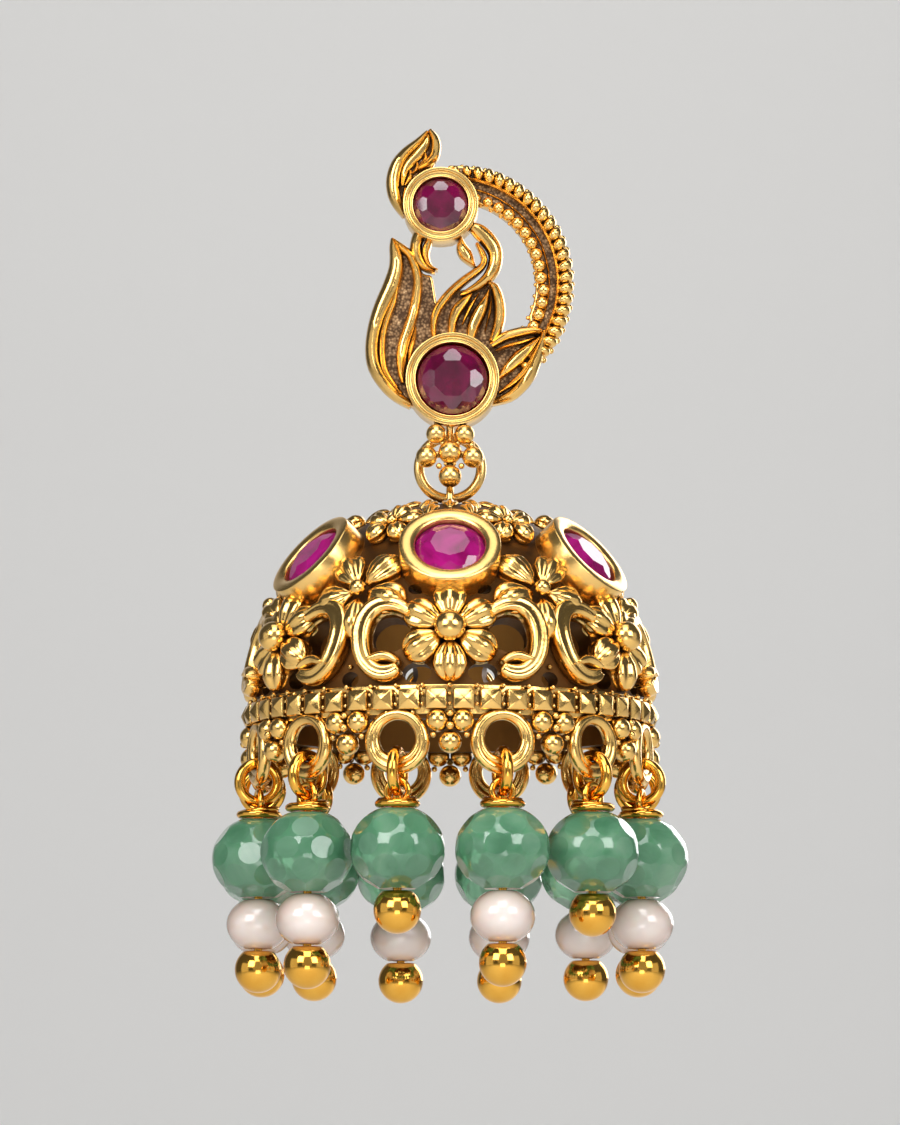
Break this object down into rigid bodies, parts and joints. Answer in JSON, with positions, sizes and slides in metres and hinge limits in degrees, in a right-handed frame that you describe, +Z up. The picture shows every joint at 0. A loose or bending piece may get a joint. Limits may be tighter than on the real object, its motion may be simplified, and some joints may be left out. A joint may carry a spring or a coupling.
{
  "type": "jhumka earring",
  "caption": "Drop earring: peacock ear top with round red stones, a link ring and a pierced flower bell ringed by green bead and pearl drops.",
  "frame": {"origin": "where the ear post leaves the flat back of the ear top, behind the upper stone", "axes": "+Z up, the front faces -Y, the ear post points along +Y"},
  "size_m": [0.0304, 0.0304, 0.0569],
  "materials": {
    "antique_gold": "gold plated, burnished on the high spots with dark patina in the recesses",
    "polished_gold": "polished gold plating",
    "ruby": "polished, faceted",
    "green_stone": "polished, faceted, milky translucent green",
    "pearl": "pearl lustre"
  },
  "bodies": {
    "ear_top": {"ear_top": "antique_gold", "ear_stone_upper": "ruby", "ear_stone_lower": "ruby"},
    "link_ring": {"link_ring": "antique_gold"},
    "bell": {"bell": "antique_gold", "bell_stone_1": "ruby", "bell_stone_2": "ruby", "bell_stone_3": "ruby", "bell_stone_4": "ruby", "bell_stone_5": "ruby", "bell_stone_6": "ruby", "jump_ring_01": "polished_gold", "drop_pin_01": "polished_gold", "green_bead_01": "green_stone", "pearl_01": "pearl", "jump_ring_02": "polished_gold", "drop_pin_02": "polished_gold", "green_bead_02": "green_stone", "pearl_02": "pearl", "jump_ring_03": "polished_gold", "drop_pin_03": "polished_gold", "green_bead_03": "green_stone", "pearl_03": "pearl", "jump_ring_04": "polished_gold", "drop_pin_04": "polished_gold", "green_bead_04": "green_stone", "pearl_04": "pearl", "jump_ring_05": "polished_gold", "drop_pin_05": "polished_gold", "green_bead_05": "green_stone", "pearl_05": "pearl", "jump_ring_06": "polished_gold", "drop_pin_06": "polished_gold", "green_bead_06": "green_stone", "jump_ring_07": "polished_gold", "drop_pin_07": "polished_gold", "green_bead_07": "green_stone", "pearl_07": "pearl", "jump_ring_08": "polished_gold", "drop_pin_08": "polished_gold", "green_bead_08": "green_stone", "jump_ring_09": "polished_gold", "drop_pin_09": "polished_gold", "green_bead_09": "green_stone", "pearl_09": "pearl", "jump_ring_10": "polished_gold", "drop_pin_10": "polished_gold", "green_bead_10": "green_stone", "pearl_10": "pearl", "jump_ring_11": "polished_gold", "drop_pin_11": "polished_gold", "green_bead_11": "green_stone", "pearl_11": "pearl", "jump_ring_12": "polished_gold", "drop_pin_12": "polished_gold", "green_bead_12": "green_stone", "pearl_12": "pearl"}
  },
  "joints": [
    {"name": "ring_turn", "type": "hinge", "parent": "ear_top", "child": "link_ring", "pos_m": [0, -0.0009, -0.01729], "axis": [0, 1, 0], "range_deg": [-20, 20]},
    {"name": "bell_swing", "type": "hinge", "parent": "link_ring", "child": "bell", "pos_m": [0, -0.0009, -0.01933], "axis": [1, 0, 0], "range_deg": [-14, 35]}
  ]
}
